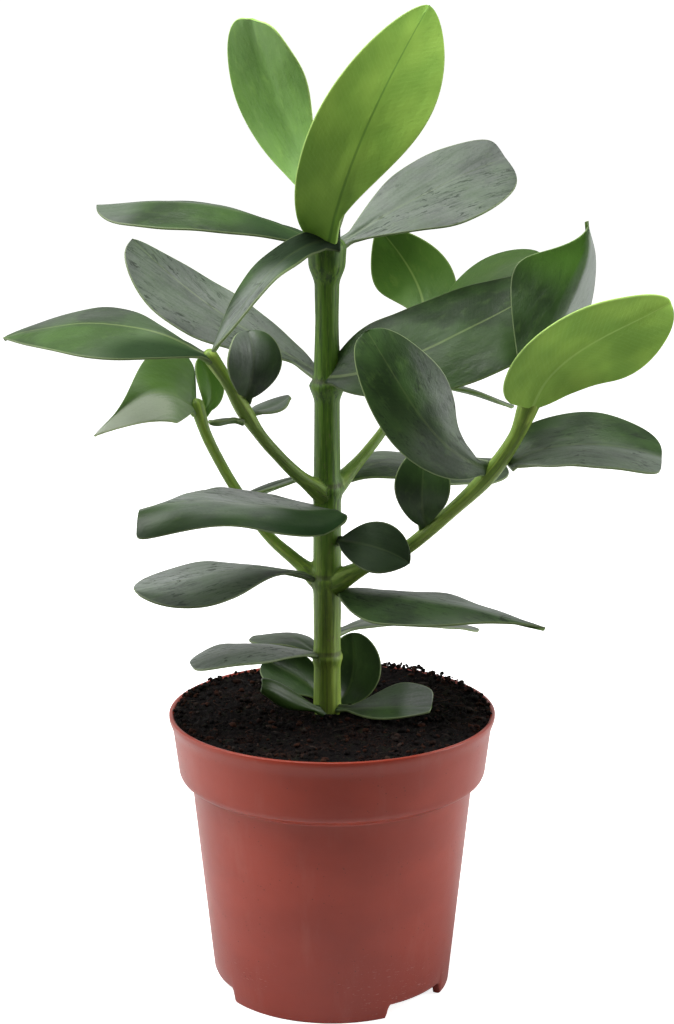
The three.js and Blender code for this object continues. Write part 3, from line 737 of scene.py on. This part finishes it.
leaves = {
    "leaf_top_front": {
        "spine": [[-1, -3, 278], [6, -22, 304], [17, -24, 330], [33, -12, 359]], "face": [0.05, 1, 0.15],
        "widest": [0.68, 0.42], "taper": [0.8, 0.4], "point": 0.6, "fold": -7, "wave": 0.1,
        "young": True, "toneAndPaintedLight": 0.55, "ribPale": -0.7, "zones": [("toneAndPaintedLight", 0.15, 0, 0.45, 2, 0.35)]},
    "leaf_top_back": {
        "spine": [[-2, 3, 278], [-10, 22, 303], [-21, 26, 328], [-28.5, 18, 354]], "face": [-0.5, -0.85, 0.1],
        "wide": [30, 31], "widest": [0.66, 0.74], "taper": 1, "point": [0.3, 0.26], "wave": 0.1,
        "young": True, "toneAndPaintedLight": 1.5, "ribPale": 0, "paintedSheen": 0.12},
    "leaf_crown_right": {
        "spine": [[0, 2, 275], [22, 12, 287.5], [44, 24, 297.5], [63, 33, 304.5]], "face": [-0.3, -0.74, 0.6],
        "wide": [30, 44], "widest": 0.62, "taper": 1, "point": [0.2, 0.3],
        "paintedSheen": [0.45, 0.42], "fleck": [0.5, 1], "zones": [("toneAndPaintedLight", 1, 0, 0.25, 2, -0.25)]},
    "leaf_crown_left": {
        "spine": [[-2, 0, 276], [-33, -2, 288.7], [-59, 0, 291.7], [-83, 4, 290]], "face": [0.05, -0.2, 1],
        "wide": 34, "taper": [0.45, 0.35], "fold": -16,
        "zones": [("waxAndPaintedSheen", 0.97, 0, 0.2, 2, 0.35), ("freshAndPaintedLight", 0.35, -0.4, 0.35, 0.5, 0.12),
                  ("deep", 0.4, 0.9, 0.6, 0.35, 0.8), ("deep", 0.12, 0, 0.2, 2, 0.8)]},
    "leaf_crown_front": {
        "spine": [[3, -5, 279], [-13, -17, 276], [-26.5, -36, 265], [-40.5, -46, 246]],
        "face": [-0.15, -0.95, 0.3], "faceTip": [-0.8, -0.3, 0.5],
        "wide": [15, 17], "widest": 0.58, "taper": 0.45, "point": 0.8, "stalk": 9, "fleck": 0.7,
        "zones": [("deep", 0.2, 0, 0.36, 2, 1), ("toneAndPaintedLight", 0.15, 0, 0.4, 2, -0.9),
                  ("waxAndPaintedSheen", 0.75, -0.2, 0.3, 0.9, 0.5)]},
    "leaf_crown_back": {
        "spine": [[-2, 4, 272], [-1.5, 26, 285], [-3, 42, 298], [-6, 50, 311]], "face": [-0.2, -0.6, 0.8],
        "wide": 19},
    "leaf_upper_right": {
        "spine": [[-2, -4, 230], [26, -10, 238], [56, 4, 250], [84, 20, 261]], "face": [-0.25, -0.75, 0.6],
        "wide": [38, 42], "widest": [0.42, 0.64], "taper": [0.3, 0.45], "fold": [2, -8], "ribPale": 0.3,
        "zones": [("freshAndPaintedLight", 0.5, 0.6, 0.5, 0.5, 0.1), ("toneAndPaintedLight", 0.5, 0.6, 0.8, 0.6, -0.3),
                  ("toneAndPaintedLight", 0.5, -0.4, 0.6, 0.6, 0.55)]},
    "leaf_upper_left": {
        "spine": [[-4, 3, 230], [-26, 20, 240.2], [-49, 34, 253.2], [-74, 42, 274]],
        "face": [0.1, -0.6, 0.75], "wide": [35, 22], "widest": [0.69, 0.55], "taper": [0.8, 0.65],
        "point": [0.42, 0.7], "fold": 0, "ribPale": 0.15, "paintedSheen": 0.42, "fleck": 1},
    "leaf_middle_front": {
        "spine": [[0, -4, 182], [-21, -26, 188], [-43, -44, 194], [-65, -53.5, 193]], "face": [0, -0.05, 1],
        "wide": [32, 36], "widest": [0.55, 0.3], "taper": [0.15, 0.3], "point": [0.1, 1.8],
        "fold": [-5, 8], "curl": [-60, 0], "pinch": (0.6, 0.2, [0.24, 0]), "shear": [0.4, 0],
        "paintedSheen": [0, 0.7], "fleck": [0.1, 1],
        "zones": [("waxAndPaintedSheen", 0.6, -0.3, 0.3, 0.4, 0.4), ("deep", 0.15, -0.6, 0.3, 0.6, 0.8),
                  ("deep", 0.5, -1, 0.7, 0.3, 0.6), ("toneAndPaintedLight", 0.98, -0.7, 0.3, 0.7, -0.7)]},
    "leaf_middle_back": {
        "spine": [[-1, 4, 188], [20, 22, 194], [43, 40, 190], [64.5, 56.4, 187]], "face": [0, -0.22, 1],
        "point": 0.35, "fold": -8},
    "leaf_middle_small": {
        "spine": [[1.8, -3.6, 170.5], [9.3, -12, 171.2], [18.3, -17, 170], [27.8, -18, 165.2]],
        "face": [-0.1, -0.9, 0.45], "wide": 19, "taper": 0.6, "point": 0.7, "stalk": 4,
        "toneAndPaintedLight": -0.8, "zones": [("deep", 0.5, 0, 1, 3, 0.7)]},
    "leaf_lower_left": {
        "spine": [[-4, 0, 155.5], [-29, -16, 163], [-48, -28, 163], [-68.5, -38, 161]], "face": [0, -0.22, 1],
        "wide": [36, 29], "widest": 0.68, "taper": 1, "point": [0.5, 0.45], "fold": -8,
        "paintedSheen": [0.3, 0.8], "fleck": 1,
        "zones": [("waxAndPaintedSheen", 0.55, -0.1, 0.5, 0.5, 0.3), ("toneAndPaintedLight", 0.5, -1, 0.8, 0.7, -1)]},
    "leaf_lower_right": {
        "spine": [[2.5, -1, 151.5], [23, -16, 153], [44, -26, 152], [75, -34, 146]], "face": [0, -0.2, 1],
        "wide": 32, "widest": [0.5, 0.38], "taper": [0.8, 1], "point": [1.1, 1.4], "fold": -16,
        "toneAndPaintedLight": -0.45, "paintedSheen": [0.6, 0], "fleck": 1, "zones": [("deep", 0.5, 0, 0.8, 1, 0.25)]},
    "leaf_low_right": {
        "spine": [[-1, 2, 134], [18, 20, 134.2], [36, 36, 130.2], [57, 48, 122]], "face": [0, 0, 1],
        "wide": 20, "point": 0.6, "fold": -8, "paintedSheen": 0.5},
    "leaf_low_left": {
        "spine": [[-3, 0, 126], [-18, -12, 132.5], [-33, -24, 135.5], [-50, -32, 132]], "face": [0, -0.05, 1],
        "wide": 24, "point": 0.35, "fold": -8, "paintedSheen": [0.55, 0.75], "fleck": 1},
    "leaf_low_back": {
        "spine": [[-3, 2, 124], [-13, 14, 128], [-21, 24, 127], [-30, 32, 124]], "face": [0, 0, 1],
        "wide": 20, "point": 0.35, "fold": -8, "toneAndPaintedLight": -0.8},
    "leaf_foot_back_left": {
        "spine": [[-3, 2, 107], [-10, 11, 112], [-18, 17, 115], [-25, 21, 118]], "face": [-0.2, -0.6, 0.7],
        "wide": 18, "point": 0.35, "stalk": 4},
    "leaf_foot_left": {
        "spine": [[-1.5, -4, 105.5], [-11, -10, 111], [-18, -16, 117], [-25, -20, 121]],
        "face": [0.3, -0.75, 0.6], "wide": 11, "point": 0.12, "curl": -85,
        "zones": [("freshAndPaintedLight", 0.6, 0, 1, 3, 0.4), ("toneAndPaintedLight", 0.5, 0, 1, 3, -0.6)]},
    "leaf_foot_upright": {
        "spine": [[0, 3, 107], [6, 9, 110], [8, 13, 119], [7, 15, 130]], "face": [-0.1, -1, 0.2],
        "wide": 21, "stalk": 4},
    "leaf_foot_right": {
        "spine": [[0, -2, 107], [12, -9, 108.4], [24, -13, 110.2], [36, -16, 111.5]],
        "face": [-0.2, -0.5, 0.85], "wide": [22, 12], "widest": [0.68, 0.6], "taper": 1.3,
        "point": [0.2, 0.25], "stalk": 4, "paintedSheen": [0.3, 0], "zones": [("waxAndPaintedSheen", 0.9, 0, 0.2, 2, 0.5)]},
    "leaf_b1_tip": {
        "spine": [[-49, 10, 216], [-56, 4, 222], [-67, -2, 223], [-85, -6, 209]], "face": [-0.1, -0.7, 0.7],
        "wide": [30, 40], "widest": [0.55, 0.35], "point": [0.9, 2.8],
        "young": True, "toneAndPaintedLight": -0.1, "paintedSheen": [0.5, 0.1], "fleck": 0,
        "zones": [("waxAndPaintedSheen", 0.85, -0.5, 0.45, 0.6, 1), ("toneAndPaintedLight", 0.85, -0.5, 0.45, 0.6, 0.5)]},
    "leaf_b1_tip_small": {
        "spine": [[-48, 11, 214], [-44, 14, 219], [-45, 18, 226], [-48, 22, 233]], "face": [0.5, -0.8, 0.3],
        "wide": 11, "young": True},
    "leaf_b1_side": {
        "spine": [[-34, 5, 185], [-42, 8, 184], [-50, 12, 183], [-60, 14, 180]], "face": [0, 0, 1],
        "wide": 16, "stalk": 3},
    "leaf_b1_side_small": {
        "spine": [[-33, 6, 185], [-26, 9, 186], [-18, 12, 188], [-11, 14, 190]], "face": [0, 0.15, 1],
        "wide": 14, "stalk": 3},
    "leaf_b2_tip_front": {
        "spine": [[69, -23, 224], [79.5, -34, 241.5], [95, -40, 252.5], [114, -40, 262.5]],
        "face": [-0.3, 0.85, 0.35], "wide": [40, 36], "widest": [0.56, 0.36], "taper": [0.35, 0.4],
        "point": [0.4, 0.55], "fold": -6, "wave": 0.05,
        "young": True, "toneAndPaintedLight": 0.7, "ribPale": 0.4, "zones": [("toneAndPaintedLight", 0.75, 0, 0.45, 2, 1.1)]},
    "leaf_b2_tip_back": {
        "spine": [[69, -21, 224], [76, -14, 244], [86, -10, 264], [89, -12, 286]],
        "face": [-0.15, -0.9, 0.35], "wide": [46, 30], "widest": [0.6, 0.45], "point": [1.8, 1.4],
        "fold": [0, -65], "toneAndPaintedLight": -0.25, "paintedSheen": [0, 1.3],
        "zones": [("freshAndPaintedLight", 1, -0.4, 0.38, 1.6, 1), ("toneAndPaintedLight", 1, -0.4, 0.35, 1.6, 0.25),
                  ("toneAndPaintedLight", 0.6, 0.6, 0.8, 0.5, 0.6)]},
    "leaf_b2_inner": {
        "spine": [[55, -20, 200], [38, -36, 213], [25, -44, 231], [12, -40, 252]], "face": [-0.2, -0.9, 0.3],
        "wide": [27, 33], "widest": [0.55, 0.6], "taper": [0.5, 0.8], "point": [0.3, 0.4], "fold": [0, -30],
        "toneAndPaintedLight": 0.85, "fleck": 0.9,
        "zones": [("waxAndPaintedSheen", 0.3, 0.8, 0.5, 0.5, 0.5), ("waxAndPaintedSheen", 0.25, -0.4, 0.25, 0.5, 0.15)]},
    "leaf_b2_outer": {
        "spine": [[62, -20, 202], [80, -18, 208], [98, -20, 208.5], [115.6, -22, 205]],
        "face": [0, -0.45, 0.9], "wide": [33, 30], "widest": [0.45, 0.6], "taper": 0.5,
        "point": [0.35, 0.12], "toneAndPaintedLight": 0.1, "paintedSheen": [0, 0.45], "fleck": 0.8},
    "leaf_b2_small": {
        "spine": [[34, -12, 176], [32, -18, 186], [32, -20, 196], [32, -16, 207]], "face": [-0.1, -0.95, 0.2],
        "wide": 20, "taper": 0.6},
    "leaf_b3_tip": {
        "spine": [[-42, -26, 241], [-57, -30, 249], [-81, -22, 252], [-116.5, -4, 244]],
        "face": [0, -0.42, 0.9], "wide": [35, 30], "widest": [0.6, 0.72], "taper": [0.8, 1.1],
        "point": 0.9, "fold": -9, "toneAndPaintedLight": -0.1, "ribPale": 0.3, "paintedSheen": [0, 0.1],
        "zones": [("deep", 0.28, -0.75, 0.34, 0.6, 1), ("freshAndPaintedLight", 0.6, -0.5, 0.5, 0.6, 0.3)]},
    "leaf_b3_round": {
        "spine": [[-31, -19, 223], [-28, -24, 232], [-27, -25, 241], [-29, -20, 249]],
        "face": [0.3, -0.8, 0.4], "wide": 20, "point": 0.4, "fold": 12,
        "toneAndPaintedLight": 0.1, "paintedSheen": [0.1, 0.05], "zones": [("waxAndPaintedSheen", 0.8, -0.3, 0.35, 0.9, 0.4)]},
    "leaf_b3_small_right": {
        "spine": [[-29, -18, 220], [-25, -14, 220], [-20, -10, 221], [-15, -8, 224]],
        "face": [-0.1, -0.15, 1], "wide": 12, "stalk": 3, "paintedSheen": 0.5},
    "leaf_b3_small_left": {
        "spine": [[-31, -20, 218], [-36, -25, 219], [-39, -30, 219], [-42, -34, 220]], "face": [0, 0.3, 1],
        "wide": 7, "stalk": 2.4, "toneAndPaintedLight": -0.6},
    "leaf_b4_tip": {
        "spine": [[33, 39, 239], [34, 50, 250], [28, 55, 263], [17, 54, 277]], "face": [-0.2, -0.95, 0.25],
        "wide": 29, "widest": [0.64, 0.45], "taper": [1.1, 0.8], "point": 0.75, "stalk": 4,
        "young": True, "toneAndPaintedLight": -0.65, "ribPale": 0.5, "fleck": 0},
    "leaf_b4_tip_right": {
        "spine": [[35, 35, 237], [46, 36, 250], [61, 40, 261.5], [78, 43, 268]], "face": [-0.3, -0.5, 0.8],
        "wide": 26, "taper": 1.1, "stalk": 4, "fold": -6, "young": True, "toneAndPaintedLight": -0.9, "fleck": 0},
    "leaf_b4_side": {
        "spine": [[29, 27, 222], [42, 30, 222], [55, 34, 218], [68, 38, 212]], "face": [0, 0.1, 1],
        "wide": 20, "fold": -8},
}

leafBuild = {
    "stalkThick": 2.6, "midribThick": 1.5, "marginThick": 0.9,
    "groove": 0.3, "grooveWide": 0.8,          # shallow furrow over the midrib
    "rib": 0.55, "ribWide": 1.1,               # raised midrib beneath
    "pillow": 0.22,                            # each half swells a little between rib and margin
    "ripple": 0.20,                            # slow unevenness of the whole blade
    "baseSteps": 12, "middleSteps": 32, "tipSteps": 16, "acrossSteps": 10, "edgeSteps": 4,
    "shortReach": 40, "shortSteps": 0.6,       # a shorter leaf than this has fewer steps
    "opening": 0.15,                           # share of the length over which stalk turns into blade
    "leanFrom": (0.5, 0.9),                    # shares of the length between which a tip's lean sets in
    "halvesMeet": 1.6,                         # width over which one half's finish turns into the other's
    "grainAcross": 40, "grainAlong": 120, "grainRow": 6,       # each leaf has its own stretch of grain
    "veinSpacing": 1.9,
}


def alongSpine(points, t):
    # the cubic through the four points
    knots = [0, 1 / 3, 2 / 3, 1]
    total = 0
    for i in range(4):
        weight = np.ones_like(t)
        for j in range(4):
            if j != i:
                weight = weight * (t - knots[j]) / (knots[i] - knots[j])
        total = total + weight[:, None] * np.array(points[i], float)
    return total


def halfWidth(leaf, t, k):
    stretch = math.log(0.5) / math.log(leaf["widest"][k])
    wave = np.sin(math.pi * np.minimum(t, 1) ** stretch).clip(0, 1)
    exponent = leaf["taper"][k] * (1 - t) + leaf["point"][k] * t
    blade = leaf["wide"][k] / 2 * wave ** exponent
    if leaf["pinch"]:
        middle, reach, shares = leaf["pinch"]
        blade = blade * (1 - shares[k] * np.exp(-((t - middle) / reach) ** 2))
    stalk = leaf["stalk"] / 2 * np.maximum(0, 1 - 2 * t)
    return np.maximum(np.maximum(blade, stalk), 0.03)


def stepsAlong(leaf):
    b = leafBuild
    reach = np.linalg.norm(np.diff(np.array(leaf["spine"], float), axis=0), axis=1).sum()
    finer = 1.0 if reach > b["shortReach"] else b["shortSteps"]
    base = np.linspace(0, 0.2, round(b["baseSteps"] * finer), endpoint=False)
    middle = np.linspace(0.2, 0.9, round(b["middleSteps"] * finer), endpoint=False)
    tip = 1 - 0.1 * np.linspace(1, 0, b["tipSteps"]) ** 2.4
    return np.concatenate([base, middle, tip])


def patchShare(leaf, kind, t, across):
    # how much of one kind of patch lies at each step, across from -1 to 1
    share = 0 * t
    for name, middle, aside, reachAlong, reachAcross, most in leaf["zones"]:
        if name == kind:
            away = np.hypot((t - middle) / reachAlong, (across - aside) / reachAcross)
            share = share + most * (1 - smoothStep(away, 0.55, 1.25))
    return share


def columnsAcross(half, edge):
    # distances from midrib to margin, the last few round the edge, and how full the edge is at each
    b = leafBuild
    columns = [(half - edge) * c for c in np.sin(np.linspace(0, math.pi / 2, b["acrossSteps"] + 1))]
    fullness = [1.0] * len(columns)
    for n in range(1, b["edgeSteps"] + 1):
        a = math.pi / 2 * n / b["edgeSteps"]
        columns.append(half - edge + edge * math.sin(a))
        fullness.append(math.cos(a))
    return list(zip(columns, fullness))


def halfBlade(leaf, t, k, number):
    # one half: for each column, its points and marks, on the upper face and on the lower
    b = leafBuild
    side = (-1, 1)[k]
    centre = alongSpine(leaf["spine"], t)
    step = 0.01
    tangent = unit(alongSpine(leaf["spine"], t + step) - alongSpine(leaf["spine"], t - step))
    face, faceTip = [unit(np.array(leaf.get(key, leaf["face"]), float)) for key in ("face", "faceTip")]
    towards = face + (faceTip - face) * t[:, None]
    normal = unit(towards - (towards * tangent).sum(-1, keepdims=True) * tangent)
    right = np.cross(tangent, normal)
    length = lengthAlong(centre)
    opening = np.clip(t / b["opening"], 0, 1)
    thick, thin = [b["stalkThick"] + (b[key] - b["stalkThick"]) * opening
                   for key in ("midribThick", "marginThick")]
    roundOff = np.clip((length[-1] - length) / (b["marginThick"] / 2), 0, 1)
    roundOff = np.sqrt(1 - (1 - roundOff) ** 2)          # the tip closes in a small round
    half = halfWidth(leaf, t, k)
    fold, curl = leaf["fold"][k], leaf["curl"][k]
    across, rise, before = 0 * t, 0 * t, 0 * t
    upper, lower = [], []
    for d, full in columnsAcross(half, np.minimum(thin / 2, 0.8 * half)):
        s = d / half
        turn = np.radians(fold + curl * (d + before) / 2 / half) * opening
        across = across + (d - before) * np.cos(turn)
        rise = rise + (d - before) * np.sin(turn)
        before = d
        angle = np.radians(fold + curl * s) * opening
        out = normal * np.cos(angle)[:, None] - right * (side * np.sin(angle))[:, None]
        deep = (thick + (thin - thick) * s) * roundOff
        bend = b["pillow"] * np.sin(math.pi * s) * opening
        bend = bend + b["ripple"] * np.sin(0.31 * side * d + 0.9 * number) * np.sin(0.21 * length + number)
        wave = np.sin(0.16 * length + 1.7 * number + k) + 0.6 * np.sin(0.29 * length + 2.3 * number + 2 * k)
        bend = bend + leaf["wave"] * wave * s ** 2 * np.sin(math.pi * t) ** 0.5
        place = centre + right * (side * across)[:, None] + normal * rise[:, None]
        place = place + out * (bend * opening - deep / 2)[:, None]
        place = place + tangent * (leaf["shear"][k] * d * smoothStep(t, *b["leanFrom"]))[:, None]
        groove = b["groove"] * np.exp(-(d / b["grooveWide"]) ** 2) * opening * (1 - 0.5 * t)
        rib = b["rib"] * np.exp(-(d / b["ribWide"]) ** 2) * opening * (1 - t) ** 0.6 * roundOff
        up = deep / 2 * full - groove * roundOff
        down = deep / 2 * full + rib

        share = 0.5 + 0.5 * side * smoothStep(d, 0, b["halvesMeet"])
        # per half a painted sheen, and patches of painted sheen, of a lighter green that is partly painted
        # light, of painted shade, and of lightening or darkening that is partly painted light and shade
        paintedSheen, fleck = [leaf[key][0] * (1 - share) + leaf[key][1] * share for key in ("paintedSheen", "fleck")]
        waxAndPaintedSheen, freshAndPaintedLight, shaded, toneAndPaintedLight = [patchShare(leaf, kind, t, side * s)
                                    for kind in ("waxAndPaintedSheen", "freshAndPaintedLight", "deep", "toneAndPaintedLight")]
        row, column = divmod(number, b["grainRow"])
        grain = np.stack([side * d + b["grainAcross"] * column, length + b["grainAlong"] * row, 0 * t], -1)
        lay = np.stack([d, half - d, t], -1)
        paintedLightMarks = np.stack([paintedSheen + waxAndPaintedSheen, freshAndPaintedLight, shaded], -1)
        facing = 0.5 + 0.5 * full              # 1 on the upper face, a half at the margin, 0 beneath
        for rows, rising, shown in ((upper, up, facing), (lower, -down, 1 - facing)):
            look = np.stack([np.full_like(t, shown), leaf["toneAndPaintedLight"] + toneAndPaintedLight, fleck], -1)
            rows.append((place + out * rising[:, None], grain, lay, look, paintedLightMarks))
    return upper, lower


def makeLeaf(node, spec, number, material):
    leaf = {**ordinaryLeaf, **spec}
    for key in perHalf:
        if not isinstance(leaf[key], list):
            leaf[key] = [leaf[key], leaf[key]]
    t = stepsAlong(leaf)
    left, leftUnder = halfBlade(leaf, t, 0, number)
    right, rightUnder = halfBlade(leaf, t, 1, number)
    # round the section: upper face from left margin to right, then back beneath
    ring = left[::-1] + right[1:] + rightUnder[-2:0:-1] + leftUnder[:-1]
    points, grain, lay, look, paintedLightMarks = [np.stack(part, 1).reshape(-1, 3) for part in zip(*ring)]
    trim = np.tile([leaf["ribPale"], 0, 0], (len(points), 1))
    piece = makePiece(node.replace("leaf_", "blade_"), points * mm, ringFaces(len(t), len(ring)), material,
                      {"grain": grain, "lay": lay, "look": look, "paintedLightMarks": paintedLightMarks, "trim": trim})
    finished(piece, "young_leaf" if leaf["young"] else "mature_leaf", node)


# the grey tint is the painted sheen, standing in for reflected light; the fresh green is partly painted
# light; the shade tint is painted shade
leafTints = {
    "mature": {"upper": "3b562a", "upperDeep": "273c1c", "upperLight": "526e36", "under": "6b8f3e",
               "underDeep": "527730", "rib": "a3b872", "edge": "a9bd7e", "fleck": "141f14", "paintedSheen": "9a9f9c",
               "freshAndPaintedLight": "67943c", "shade": "1c3a12", "gloss": 0.32, "waxAndPaintedSheen": 0.08},
    "young": {"upper": "648f36", "upperDeep": "59832f", "upperLight": "7ca346", "under": "94bc4c",
              "underDeep": "7aa53e", "rib": "b4d074", "edge": "c0d684", "fleck": "2c4a20", "paintedSheen": "b4bea8",
              "freshAndPaintedLight": "86b447", "shade": "3c6a1e", "gloss": 0.36, "waxAndPaintedSheen": 0.05},
}


def leafFinish(kind):
    tint = leafTints[kind]
    s = Nodes(bpy.data.materials.new(kind + "Leaf"))
    grain = s.attribute("grain")
    x, y = s.split(grain)[:2]
    fromRib, fromEdge, t = s.split(s.attribute("lay"))
    facing, toneAndPaintedLight, streaky = s.split(s.attribute("look"))
    paintedSheen, freshAndPaintedLight, deep = s.split(s.attribute("paintedLightMarks"))
    ribPale = s.split(s.attribute("trim"))[0]
    up = s.rise(facing, 0.35, 0.65)

    slow = s.cloud(grain, (0.07, 0.045, 1))
    medium = s.cloud(grain, (0.35, 0.16, 1), detail=3, rough=0.6)
    fine = s.cloud(grain, (1.4, 0.9, 1), detail=3, rough=0.6)
    # side veins leave the midrib at a slant, close together and faint
    slant = (y - fromRib * 0.85 + medium * 1.6) * (fullTurn / leafBuild["veinSpacing"])
    veins = s.math("POWER", s.math("SINE", slant) * 0.5 + 0.5, 4.0)
    veins = veins * s.rise(fromRib, 0.6, 3.0) * s.rise(fromEdge, 0.3, 2.5)
    rib = 1 - s.rise(fromRib / (0.85 - t * 0.6), 0.35, 1.0)
    edge = 1 - s.rise(fromEdge, 0.22, 0.62)
    # flecks and the streaks of the painted sheen run along the blade and a little outwards
    brushed = s.add("CombineXYZ", None, {0: fromRib - y * 0.12, 1: y, 2: x * 0.12})
    dashes = s.rise(s.cloud(brushed, (0.9, 0.22, 1), detail=4, rough=0.6, bend=0.5), 0.56, 0.64)
    strokes = s.rise(s.cloud(brushed, (1.5, 0.10, 1), detail=3, rough=0.6, bend=0.2), 0.52, 0.66)
    patches = s.rise(s.cloud(grain, (0.10, 0.08, 1)), 0.36, 0.60)
    fleck = s.math("MAXIMUM", dashes, strokes * 0.6) * patches * streaky * up
    sheenStreaks = s.cloud(brushed, (0.7, 0.05, 1), detail=3, rough=0.6)

    # on the upper face: the grey is painted sheen, standing in for reflected light; the fresh green is partly
    # painted light; the shade tint is painted shade
    top = s.layers(tint["upperDeep"],
                   (tint["upper"], s.rise(slow, 0.36, 0.6)),
                   (tint["upperLight"], s.rise(medium, 0.5, 0.78) * 0.45),
                   (tint["upperLight"], veins * 0.04),
                   (tint["freshAndPaintedLight"], freshAndPaintedLight * 0.85),
                   # painted shade from the deep patches
                   (tint["shade"], deep * 0.9),
                   (tint["paintedSheen"], paintedSheen * (0.4 + fine * 0.6 + s.rise(sheenStreaks, 0.35, 0.65) * 0.25)),
                   (tint["fleck"], fleck * 0.7))
    body = s.layers(tint["underDeep"],
                    (tint["under"], s.rise(slow, 0.3, 0.7)),
                    (tint["rib"], veins * 0.05),
                    (top, up),
                    (tint["rib"], rib * s.math("MAXIMUM", ribPale)),
                    (tint["upperDeep"], rib * s.math("MAXIMUM", 0.0 - ribPale)),
                    (tint["edge"], edge * 0.38))
    # the value also carries painted light and shade from the tone patches
    shade = s.add("HueSaturation", None, {"Color": body, "Value": toneAndPaintedLight * 0.45 + 1.0})
    rough = tint["gloss"] + fine * 0.10 + slow * 0.08 + fleck * 0.22 + (1 - up) * 0.18 + deep * 0.42
    waxAndPaintedSheen = tint["waxAndPaintedSheen"] * up * (1 - fleck * 0.8) * (1 - deep * 0.8)
    normal = s.bumps((slow, 0.0008), (medium, 0.00022), (fine * 0.6 + veins * 0.15, 0.00006))
    return s.surface({"Base Color": shade, "Roughness": rough, "IOR": 1.5, "Normal": normal,
                      "Specular IOR Level": 0.36, "Coat Weight": waxAndPaintedSheen, "Coat Roughness": 0.32})


studio = {
    "floorReach": 20.0,                        # metres
    "floorSides": 64, "floorTint": "f4f4f2",
    "floorGlow": 0.86,                         # keeps the far floor as pale as the near one
    # how much light the floor throws back, and from where to where that changes, in metres
    "bounceFront": 0.08, "bounceRound": 0.85, "bounceTurn": (-0.35, 0.0),
    # the sky brightens from front to back and darkens towards its top; backdrop is what is seen of it
    "skyDark": 0.07, "skyBright": 0.75, "skyTurn": (-0.6, 0.5),
    "skyHigh": 0.35, "skyTop": (0.30, 0.75), "backdrop": 1.1,
    "aim": (0, 0, 0.17),                       # what the soft boxes face, in metres
    # metres, degrees, and millimetres for lens and sensor
    "camera": {"aside": 0.0018, "back": 0.818, "height": 0.370, "down": 13.09, "lens": 81.56, "sensor": 36},
}

# soft boxes: place in metres, size in metres, brightness of their face
softBoxes = {
    "key": {"place": (-0.95, -0.28, 1.0), "size": (0.9, 0.9), "bright": 4.3},
    "above": {"place": (-0.20, -0.14, 1.30), "size": (0.8, 0.8), "bright": 5.5},
    "right": {"place": (1.05, 0.0, 0.50), "size": (0.5, 0.9), "bright": 4.9},
    "left": {"place": (-1.10, 0.15, 0.45), "size": (0.4, 0.9), "bright": 1.4},
}


def makeFloor():
    reach, sides = studio["floorReach"], studio["floorSides"]
    rim = [(reach * math.cos(a), reach * math.sin(a), 0) for a in roundTurn(sides)]
    s = Nodes(bpy.data.materials.new("paleFloor"))
    y = s.split(s.add("TexCoord", out="Object"))[1]
    spread = studio["bounceRound"] - studio["bounceFront"]
    away = s.rise(y, *studio["bounceTurn"]) * spread + studio["bounceFront"]
    dim = s.add("CombineColor", None, {0: away, 1: away, 2: away})
    bounce = s.add("BsdfDiffuse", None, {"Color": dim})
    matt = s.add("BsdfDiffuse", None, {"Color": paint(studio["floorTint"])})
    glow = s.add("Emission", None, {"Color": (1, 1, 1, 1), "Strength": studio["floorGlow"]})
    pale = s.add("AddShader", None, {0: matt, 1: glow})
    seen = s.add("LightPath", out="Is Camera Ray")
    both = s.add("MixShader", None, {0: seen, 1: bounce, 2: pale})
    s.add("OutputMaterial", None, {"Surface": both})
    floor = makePiece("floor", rim, [tuple(range(sides))], s.owner)


def makeSky():
    world = bpy.data.worlds.new("studioLight")
    bpy.context.scene.world = world
    w = Nodes(world)
    y, z = w.split(w.add("TexCoord", out="Generated"))[1:]
    sky = studio["skyDark"] + w.rise(y, *studio["skyTurn"]) * (studio["skyBright"] - studio["skyDark"])
    sky = sky * (1 - w.rise(z, *studio["skyTop"]) * (1 - studio["skyHigh"]))
    lit = w.add("Background", None, {"Color": (1, 1, 1, 1), "Strength": sky})
    plain = w.add("Background", None, {"Color": (1, 1, 1, 1), "Strength": studio["backdrop"]})
    seen = w.add("LightPath", out="Is Camera Ray")
    both = w.add("MixShader", None, {0: seen, 1: lit, 2: plain})
    w.add("OutputWorld", None, {"Surface": both})


def makeLights():
    for name, box in softBoxes.items():
        light = bpy.data.lights.new(name + "SoftBox", "AREA")
        light.shape = "RECTANGLE"
        light.size, light.size_y = box["size"]
        light.energy = box["bright"] * math.pi * light.size * light.size_y
        holder = placed(name + "SoftBox", light)
        holder.location = box["place"]
        way = Vector(studio["aim"]) - Vector(box["place"])
        holder.rotation_euler = way.to_track_quat("-Z", "Y").to_euler()


def makeCamera():
    view = studio["camera"]
    lens = bpy.data.cameras.new("camera")
    lens.lens = view["lens"]
    lens.sensor_width = view["sensor"]
    camera = placed("camera", lens)
    camera.location = (view["aside"], -view["back"], view["height"])
    camera.rotation_euler = (math.radians(90 - view["down"]), 0, 0)
    scene = bpy.context.scene
    scene.camera = camera
    scene.view_settings.view_transform = "Standard"
    scene.view_settings.look = "None"
    scene.view_settings.exposure = 0
    scene.view_settings.gamma = 1


makeFloor()
makeSky()
makeLights()
makeCamera()
print("studio: ready")
makePot(potFinish())
print("pot: made")
earth = soilFinish()
makeSoil(earth)
makeCrumbs(earth)
print("soil: made")
makeStem(stemFinish())
print("stem: made")
leafMaterials = {True: leafFinish("young"), False: leafFinish("mature")}
for number, (node, spec) in enumerate(leaves.items()):
    makeLeaf(node, spec, number, leafMaterials[spec.get("young", False)])
print("leaves: made", len(leaves))
